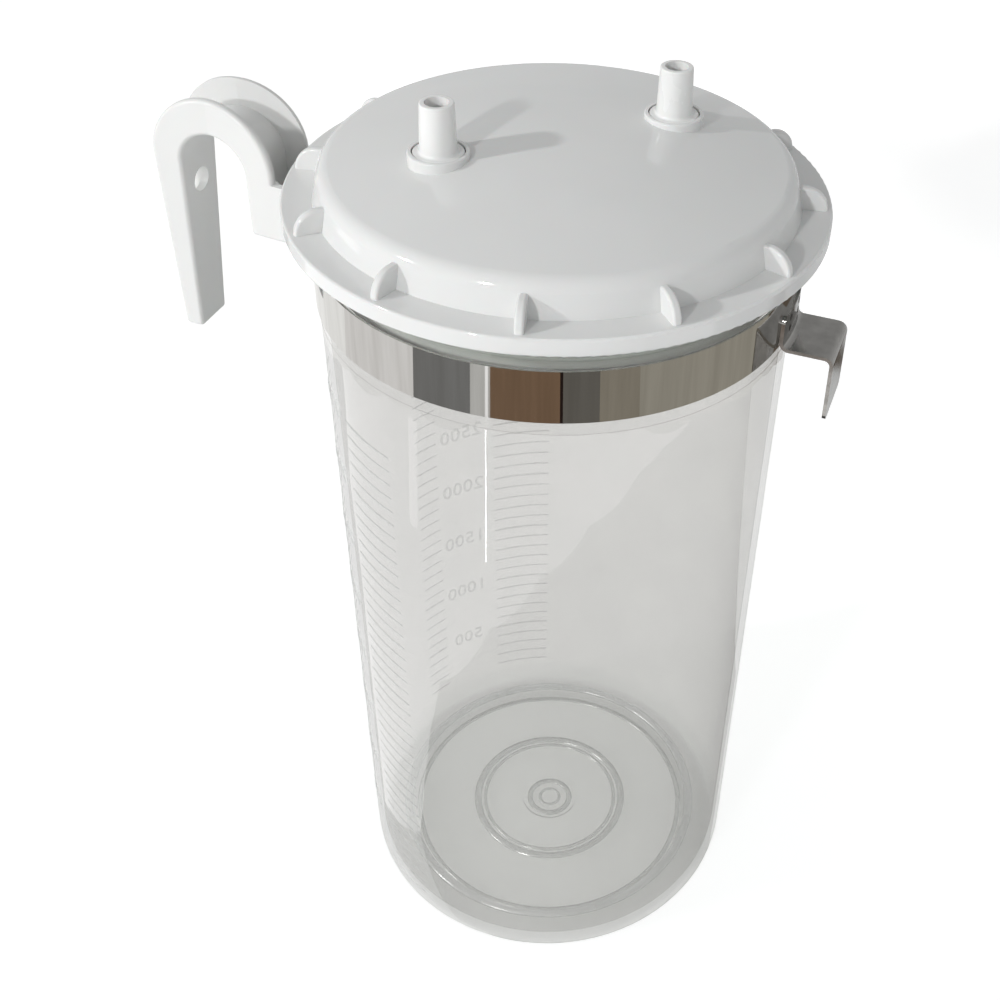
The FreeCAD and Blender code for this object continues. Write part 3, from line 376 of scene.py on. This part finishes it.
clear_plastic = milky(
    "clear_plastic", ((0.892, 0.888, 0.882), (0.910, 0.906, 0.900)),
    (0.06, 0.09), (0.006, 0.02), 0.00003, skin=True,
)
relief_plastic = milky(
    "relief_plastic", ((0.965, 0.967, 0.965), (0.98, 0.98, 0.978)),
    (0.08, 0.14), (0.12, 0.25), 0.00003,
)
bead_plastic = milky(
    "bead_plastic", ((0.955, 0.957, 0.955), (0.975, 0.975, 0.972)),
    (0.28, 0.38), (0.17, 0.25), 0.00001, shine=2.3,
)
lid_plastic = moulded(
    "lid_plastic", (0.735, 0.74, 0.735), (0.765, 0.769, 0.763), 0.05, 0.09,
    grain=0.000004, subsurface=0.05, index=1.7,
)
spigot_plastic = moulded(
    "spigot_plastic", (0.79, 0.795, 0.786), (0.82, 0.822, 0.813), 0.2, 0.3,
    grain=0.00002, subsurface=0.05,
)
handle_plastic = moulded(
    "handle_plastic", (0.75, 0.755, 0.747), (0.785, 0.787, 0.778), 0.28, 0.44, subsurface=0.04,
)
inner_plastic = moulded("inner_plastic", (0.62, 0.63, 0.63), (0.68, 0.69, 0.685), 0.4, 0.55)
float_plastic = moulded(
    "float_plastic", (0.74, 0.71, 0.62), (0.80, 0.77, 0.69), 0.55, 0.75, grain=0.00015,
)
silicone = moulded("silicone", (0.70, 0.705, 0.69), (0.76, 0.765, 0.75), 0.5, 0.65, grain=0.00008)
seal_rubber = moulded(
    "seal_rubber", (0.018, 0.018, 0.02), (0.035, 0.035, 0.037), 0.55, 0.75, grain=0.00008,
)
band_steel = metal(
    "band_steel", (0.62, 0.61, 0.595), (0.72, 0.712, 0.70), 0.015, 0.04, (2.2, 2.2, 0.12), 0.0000006,
)
hook_steel = metal(
    "hook_steel", (0.27, 0.262, 0.25), (0.36, 0.35, 0.335), 0.09, 0.16, (1.0, 1.0, 3.0), 0.000003,
)
screw_steel = metal(
    "screw_steel", (0.56, 0.56, 0.55), (0.66, 0.66, 0.65), 0.18, 0.32, (1.0, 6.0, 6.0), 0.00002,
)
weld_steel = metal(
    "weld_steel", (0.05, 0.045, 0.04), (0.12, 0.11, 0.10), 0.5, 0.7, (1.0, 1.0, 1.0), 0.00004,
)

NODE_MATERIALS = {
    "jar": clear_plastic,
    "band": band_steel,
    "hook": hook_steel,
    "handle": handle_plastic,
    "handle_weld_nut": screw_steel,
    "handle_screw": screw_steel,
    "handle_screw_washer": screw_steel,
    "lid": lid_plastic,
    "lid_gasket": silicone,
    "inlet_spigot": spigot_plastic,
    "vacuum_spigot": spigot_plastic,
    "inlet_spigot_washer": silicone,
    "vacuum_spigot_washer": silicone,
    "inlet_spigot_nut": inner_plastic,
    "vacuum_spigot_nut": inner_plastic,
    "valve_cage": inner_plastic,
    "valve_cage_base": inner_plastic,
    "float": float_plastic,
    "float_seal": seal_rubber,
}
for node, material in NODE_MATERIALS.items():
    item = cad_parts[node]
    item.data.materials.clear()
    item.data.materials.append(material)

# The moulded scale: fine raised lines and numbers on the wall, on both sides of the hook's plane


def raised_line(form, z, start, end, width, height):
    """A low rounded ridge on the wall between two angles at one height."""
    section = [(across, -RELIEF_SINK if lift is None else height * lift) for across, lift in LINE_SECTION]
    parts = max(FEWEST_LINE_PARTS, round(abs(end - start) * LINE_PARTS_PER_DEGREE))
    rows = []
    for index in range(parts + 1):
        share = index / parts
        angle = math.radians(start + (end - start) * share)
        fade = min(1.0, LINE_END_FADE * min(share, 1.0 - share) + LINE_END_HEIGHT)
        points = [(z + across * width, lift * fade if lift > 0 else lift) for across, lift in section]
        rows.append([form.verts.new(on_wall(angle, height_at, lift)) for height_at, lift in points])
    for first, second in zip(rows, rows[1:]):
        for index in range(len(section)):
            following = (index + 1) % len(section)
            form.faces.new((first[index], first[following], second[following], second[index]))
    form.faces.new(rows[0])
    form.faces.new(list(reversed(rows[-1])))


def raised_number(form, text, z, centre):
    """A raised number on the wall, centred on an angle, read from outside."""
    curve = bpy.data.curves.new(f"number_{text}", "FONT")
    curve.body = text
    curve.size = DIGIT_HEIGHT * FONT_SIZE_PER_HEIGHT
    curve.align_x = "CENTER"
    curve.align_y = "CENTER"
    curve.space_character = DIGIT_SPACING
    curve.extrude = DIGIT_DEPTH / 2
    curve.bevel_depth = DIGIT_BEVEL
    curve.bevel_resolution = 0
    curve.resolution_u = DIGIT_CURVE_STEPS
    holder = bpy.data.objects.new("number_holder", curve)
    flat = bpy.data.meshes.new_from_object(holder)
    first = len(form.verts)
    form.from_mesh(flat)
    form.verts.ensure_lookup_table()
    for vertex in form.verts[first:]:
        across, up, out = vertex.co
        angle = math.radians(centre) + across / wall_radius(z)
        vertex.co = on_wall(angle, z + up, out + DIGIT_DEPTH / 2 - RELIEF_SINK)
    bpy.data.objects.remove(holder)
    bpy.data.curves.remove(curve)
    bpy.data.meshes.remove(flat)


heights = scale_heights()
for side, name in ((1.0, "back"), (-1.0, "front")):
    lines = bmesh.new()
    for step, height in enumerate(heights, start=1):
        width, lift = FINE_LINE if step % STEPS_PER_NUMBER else MAIN_LINE
        for start, end in (LONG_TICK, SHORT_TICK):
            raised_line(lines, height, side * start, side * end, width, lift)
    mesh = finished(lines, f"scale_lines_{name}")
    add_mesh(f"scale_lines_{name}", mesh, "bottle", relief_plastic)
    digits = bmesh.new()
    for step in range(STEPS_PER_NUMBER, STEPS + 1, STEPS_PER_NUMBER):
        raised_number(digits, str(step * STEP_LABEL), heights[step - 1], side * NUMBER_ANGLE)
    mesh = finished(digits, f"scale_numbers_{name}", outward=False)
    add_mesh(f"scale_numbers_{name}", mesh, "bottle", relief_plastic)

# Moulded beads round the rings and the boss on the jar's floor.
# Each has a radius, half its width, its rise, the height of its seat, and 1 to stand up or -1 to hang.
FLOOR_BEADS = (
    (61.4, 1.9, 1.2, FLOOR_TOP, 1.0),
    (57.0, 1.0, 0.7, FOOT_LIFT, -1.0),
    (31.5, 1.5, 1.0, FOOT_LIFT + CENTRE_LIFT, -1.0),
    (28.4, 0.8, 0.5, FOOT_LIFT + CENTRE_LIFT, -1.0),
    (8.6, 1.2, 0.8, GATE_FACE, -1.0),
    (4.2, 0.7, 0.4, GATE_FACE, -1.0),
)
BEAD_SPLITS = 144
BEAD_STEPS = 6
beads = bmesh.new()
for radius, half, rise, seat, facing in FLOOR_BEADS:
    rows = []
    for index in range(BEAD_SPLITS):
        angle = math.tau * index / BEAD_SPLITS
        row = []
        for step in range(BEAD_STEPS + 1):
            turn = math.pi * step / BEAD_STEPS
            up = seat + facing * ((rise + RELIEF_SINK) * math.sin(turn) - RELIEF_SINK)
            row.append(beads.verts.new(around(radius + half * math.cos(turn), angle, up)))
        rows.append(row)
    for index, row in enumerate(rows):
        following = rows[(index + 1) % BEAD_SPLITS]
        for step in range(BEAD_STEPS + 1):
            other = (step + 1) % (BEAD_STEPS + 1)
            beads.faces.new((row[step], row[other], following[other], following[step]))
mesh = finished(beads, "jar_floor_beads")
add_mesh("jar_floor_beads", mesh, "bottle", bead_plastic)

# Spot welds of the hook's flange. Each ring has a share of the weld's radius and a lift off the flange.
WELD_PLACES = ((-5.5, 274.6), (5.5, 274.6), (-5.5, 278.4), (5.5, 278.4))
WELD_RINGS = ((0.0, 0.02), (0.55, 0.03), (0.8, 0.09), (1.0, 0.0))
WELD_RADIUS = 1.25
WELD_SPLITS = 20
WELD_MERGE = 1e-7
HOOK_THICKNESS = 1.2
FLANGE_RADIUS = BAND_RADIUS + HOOK_THICKNESS
welds = bmesh.new()
for across, z in WELD_PLACES:
    centre_angle = across / FLANGE_RADIUS
    previous = None
    for share, lift in WELD_RINGS:
        row = []
        for index in range(WELD_SPLITS):
            turn = math.tau * index / WELD_SPLITS
            angle = centre_angle + share * WELD_RADIUS * math.cos(turn) / FLANGE_RADIUS
            up = z + share * WELD_RADIUS * math.sin(turn)
            row.append(welds.verts.new(around(FLANGE_RADIUS + lift, angle, up)))
        if previous:
            for index in range(WELD_SPLITS):
                following = (index + 1) % WELD_SPLITS
                welds.faces.new((previous[index], previous[following], row[following], row[index]))
        previous = row
bmesh.ops.remove_doubles(welds, verts=welds.verts, dist=WELD_MERGE)
mesh = finished(welds, "hook_spot_welds")
add_mesh("hook_spot_welds", mesh, "bottle", weld_steel)

# Thread on the lid's plug: a low ridge that winds down round it.
# Its section has shares of half its width and of its height; a lift below nothing is in millimetres.
PLUG_RADIUS = 75.2
THREAD_PITCH = 4.0
THREAD_TOP = 297.5
THREAD_TURNS = 2.6
THREAD_HEIGHT = 0.3
THREAD_HALF = 0.8
THREAD_SPLITS = 144
THREAD_END_FADE = 14.0
THREAD_SECTION = ((-1.0, -0.05), (-0.45, 1.0), (0.45, 1.0), (1.0, -0.05))
thread = bmesh.new()
rows = []
count = int(THREAD_TURNS * THREAD_SPLITS)
for index in range(count + 1):
    share = index / count
    angle = math.tau * THREAD_TURNS * share
    z = THREAD_TOP - THREAD_PITCH * THREAD_TURNS * share
    fade = min(1.0, THREAD_END_FADE * min(share, 1.0 - share))
    row = []
    for across, lift in THREAD_SECTION:
        radius = PLUG_RADIUS + (THREAD_HEIGHT * lift * fade if lift > 0 else lift)
        row.append(thread.verts.new(around(radius, angle, z + across * THREAD_HALF)))
    rows.append(row)
for first, second in zip(rows, rows[1:]):
    for index in range(len(THREAD_SECTION)):
        following = (index + 1) % len(THREAD_SECTION)
        thread.faces.new((first[index], second[index], second[following], first[following]))
thread.faces.new(rows[0])
thread.faces.new(list(reversed(rows[-1])))
mesh = finished(thread, "lid_thread")
add_mesh("lid_thread", mesh, "lid_group", lid_plastic)

# Floor: pale, keeps the shadow, and glows where it is seen, so that it reads as white in the picture
FLOOR_DROP = -0.0002
FLOOR_HALF = 4.0
FLOOR_COLOUR = (0.86, 0.86, 0.86, 1.0)
FLOOR_GLOW = 0.42
FLOOR_CORNERS = ((-1, -1), (1, -1), (1, 1), (-1, 1))
floor_mesh = bpy.data.meshes.new("floor")
floor_points = [(x * FLOOR_HALF, y * FLOOR_HALF, FLOOR_DROP) for x, y in FLOOR_CORNERS]
floor_mesh.from_pydata(floor_points, [], [(0, 1, 2, 3)])
floor = bpy.data.objects.new("floor", floor_mesh)
scene.collection.objects.link(floor)
floor_paint = bpy.data.materials.new("floor_paint")
floor_paint.use_nodes = True
nodes = floor_paint.node_tree.nodes
links = floor_paint.node_tree.links
nodes.clear()
output = nodes.new("ShaderNodeOutputMaterial")
diffuse = nodes.new("ShaderNodeBsdfDiffuse")
diffuse.inputs["Color"].default_value = FLOOR_COLOUR
glow = nodes.new("ShaderNodeEmission")
glow.inputs["Color"].default_value = WHITE
seen = either_ray(nodes, links, "Is Camera Ray", "Is Transmission Ray")
links.new(arithmetic(nodes, links, "MULTIPLY", seen, FLOOR_GLOW), glow.inputs["Strength"])
both = nodes.new("ShaderNodeAddShader")
links.new(diffuse.outputs["BSDF"], both.inputs[0])
links.new(glow.outputs["Emission"], both.inputs[1])
links.new(both.outputs["Shader"], output.inputs["Surface"])
floor_mesh.materials.append(floor_paint)

# Glowing cards that lie on the floor in front, out of the picture: painted reflections, shown only in
# reflections and lighting nothing.
# Each column holds the floor points mirrored by the band's upper and lower edge at one picture column.
COLUMNS = {
    313: ((-383, 323), (-285, 340)),
    320: ((-455, 203), (-370, 232)),
    333: ((-492, 69), (-425, 105)),
    345: ((-493, -26), (-439, -2)),
    380: ((-434, -230), (-392, -195)),
    413: ((-338, -354), (-306, -312)),
    470: ((-139, -468), (-126, -418)),
    485: ((-84, -480), (-77, -430)),
    488: ((-73, -481), (-67, -431)),
    490: ((-66, -482), (-60, -432)),
    525: ((60, -483), (54, -432)),
    560: ((179, -452), (163, -404)),
    563: ((189, -448), (172, -401)),
    600: ((302, -382), (274, -340)),
    640: ((402, -275), (364, -241)),
    700: ((486, -48), (436, -31)),
    737: ((474, 132), (418, 118)),
    760: ((420, 260), (358, 247)),
    768: ((388, 306), (327, 290)),
    779: ((325, 374), (252, 357)),
    792: ((210, 453), (130, 418)),
}
OUTWARD = 1.07
INWARD = 0.93
CARDS = [
    ("card_pale_end", (313, 320, 333, 345), (1.0, 1.0, 0.98), 0.95),
    ("card_pale", (345, 380, 413), (1.0, 0.985, 0.965), 0.80),
    ("card_grey", (413, 470), (0.20, 0.20, 0.195), 1.0),
    ("card_haze", (470, 485), (0.58, 0.58, 0.56), 1.0),
    ("card_stripe", (485, 488), (1.0, 1.0, 1.0), 1.1),
    ("card_haze_edge", (488, 490), (0.55, 0.54, 0.52), 1.0),
    ("card_brown", (490, 525, 560), (0.195, 0.125, 0.078), 1.0),
    ("card_line", (560, 563), (0.02, 0.012, 0.01), 1.0),
    ("card_slate", (563, 600), (0.135, 0.127, 0.112), 1.0),
    ("card_olive", (600, 640), (0.26, 0.235, 0.19), 1.0),
    ("card_clay", (640, 700, 737, 760, 768), (0.335, 0.315, 0.265), 1.0),
    ("card_umber", (768, 779, 792), (0.10, 0.08, 0.062), 1.0),
]
# Cards mirrored by the wall, painting reflections: its bright highlight stripe, and a soft light at the
# left
FLOOR_STRIPES = [
    ("card_wall_stripe", [(-55, -286), (-52.6, -286), (-71.4, -395), (-74.6, -395)], 26.0),
    ("card_soft", [(-232, -190), (-214, -206), (-275, -280), (-300, -258)], 2.5),
]
STRIPE_COLOUR = (1.0, 1.0, 1.0)
CARD_LIFT = 0.0008

# Painted reflection in the wall: floor points mirrored by the wall along the soft slanting edge of the
# paler part, and farther out
FIELD_LIFT = 0.0004
FIELD_SPLIT = 10
FIELD_COLOUR = (1.0, 1.0, 1.0)
FIELD_POWER = 1.3
DUSK_COLOUR = (1.0, 0.99, 0.96)
DUSK_POWER = 0.1
FIELD_EDGE = [
    (396, -52), (359, -129), (309, -189), (192, -262), (70, -277), (-37, -242), (-110, -163), (-102, -126),
    (-85, -100), (-64, -80), (-80, -40), (-145, -10), (-225, 19), (-283, 53), (-365, 51),
]
DUSK_INSIDE = [(0, -76), (76, 0), (100, 100), (500, 300), (500, 0)]
FIELD_OUTSIDE = [(-1300, 180), (-900, -900), (0, -1300), (900, -900), (1300, -180)]


def card(name, points, faces, colour, power, lift=CARD_LIFT):
    """A glowing card on the floor that only reflections show: a painted reflection, lighting nothing."""
    mesh = bpy.data.meshes.new(name)
    mesh.from_pydata([(x * MM, y * MM, lift) for x, y in points], [], faces)
    item = bpy.data.objects.new(name, mesh)
    scene.collection.objects.link(item)
    paint = bpy.data.materials.new(name)
    paint.use_nodes = True
    nodes = paint.node_tree.nodes
    nodes.clear()
    output = nodes.new("ShaderNodeOutputMaterial")
    light = nodes.new("ShaderNodeEmission")
    light.inputs["Color"].default_value = (*colour, 1.0)
    light.inputs["Strength"].default_value = power
    paint.node_tree.links.new(light.outputs["Emission"], output.inputs["Surface"])
    mesh.materials.append(paint)
    item.visible_camera = False
    item.visible_diffuse = False
    item.visible_transmission = False
    item.visible_shadow = False


def whole_face(points):
    """One face through all the points, in their order."""
    return [tuple(range(len(points)))]


for name, keys, colour, power in CARDS:
    points = []
    for key in keys:
        (far_x, far_y), (near_x, near_y) = COLUMNS[key]
        points.append((far_x * OUTWARD, far_y * OUTWARD))
        points.append((near_x * INWARD, near_y * INWARD))
    faces = [(2 * i, 2 * i + 1, 2 * i + 3, 2 * i + 2) for i in range(len(keys) - 1)]
    card(name, points, faces, colour, power)
for name, points, power in FLOOR_STRIPES:
    card(name, points, whole_face(points), STRIPE_COLOUR, power)
field = FIELD_EDGE + FIELD_OUTSIDE
card("card_field", field, whole_face(field), FIELD_COLOUR, FIELD_POWER, FIELD_LIFT)
dusk = FIELD_EDGE[:FIELD_SPLIT] + DUSK_INSIDE
card("card_dusk", dusk, whole_face(dusk), DUSK_COLOUR, DUSK_POWER, FIELD_LIFT)

# World: white where it is seen, and dimmer overhead where it lights
HORIZON_LEVEL = 0.1
OVERHEAD_LEVEL = 0.9
HORIZON_POWER = 0.64
OVERHEAD_POWER = 0.38
LIGHTING_COLOUR = (0.99, 1.0, 1.0, 1.0)
world = bpy.data.worlds.new("studio")
scene.world = world
world.use_nodes = True
nodes = world.node_tree.nodes
links = world.node_tree.links
nodes.clear()
output = nodes.new("ShaderNodeOutputWorld")
place = nodes.new("ShaderNodeTexCoord")
parts = nodes.new("ShaderNodeSeparateXYZ")
links.new(place.outputs["Generated"], parts.inputs["Vector"])
power = spread(
    nodes, links, parts.outputs["Z"], HORIZON_POWER, OVERHEAD_POWER, HORIZON_LEVEL, OVERHEAD_LEVEL,
)
lighting = nodes.new("ShaderNodeBackground")
lighting.inputs["Color"].default_value = LIGHTING_COLOUR
links.new(power, lighting.inputs["Strength"])
backdrop = nodes.new("ShaderNodeBackground")
backdrop.inputs["Color"].default_value = WHITE
seen = either_ray(nodes, links, "Is Camera Ray", "Is Transmission Ray")
studio = mixed(nodes, links, seen, lighting.outputs["Background"], backdrop.outputs["Background"])
links.new(studio, output.inputs["Surface"])


def sun(name, azimuth, height, softness, power):
    """A distant softbox in the direction given by its azimuth and its height above the horizon."""
    data = bpy.data.lights.new(name, "SUN")
    data.angle = math.radians(softness)
    data.energy = power
    lamp = bpy.data.objects.new(name, data)
    scene.collection.objects.link(lamp)
    across = math.cos(math.radians(height))
    turn = math.radians(azimuth)
    up = math.sin(math.radians(height))
    toward = Vector((across * math.cos(turn), across * math.sin(turn), up))
    lamp.rotation_euler = toward.to_track_quat("Z", "Y").to_euler()


sun("left_box", -143.0, 25.0, 3.0, 1.25)
sun("front_box", -102.0, 22.0, 3.5, 1.05)

# Camera
camera_data = bpy.data.cameras.new("camera")
camera_data.sensor_width = SENSOR_WIDTH
camera_data.lens = FOCAL_PIXELS / PICTURE_SIZE * SENSOR_WIDTH
camera_data.shift_x = (PICTURE_SIZE / 2 - PRINCIPAL_X) / PICTURE_SIZE
camera_data.shift_y = (PRINCIPAL_Y - PICTURE_SIZE / 2) / PICTURE_SIZE
camera_data.clip_start = CLIP_START
camera_data.clip_end = CLIP_END
camera = bpy.data.objects.new("camera", camera_data)
scene.collection.objects.link(camera)
forward = Vector(CAMERA_FORWARD).normalized()
right = Vector(CAMERA_RIGHT).normalized()
up = right.cross(forward)
turned = Matrix((right, up, -forward)).transposed()
camera.matrix_world = Matrix.Translation(Vector(CAMERA_PLACE) * MM) @ turned.to_4x4()
scene.camera = camera
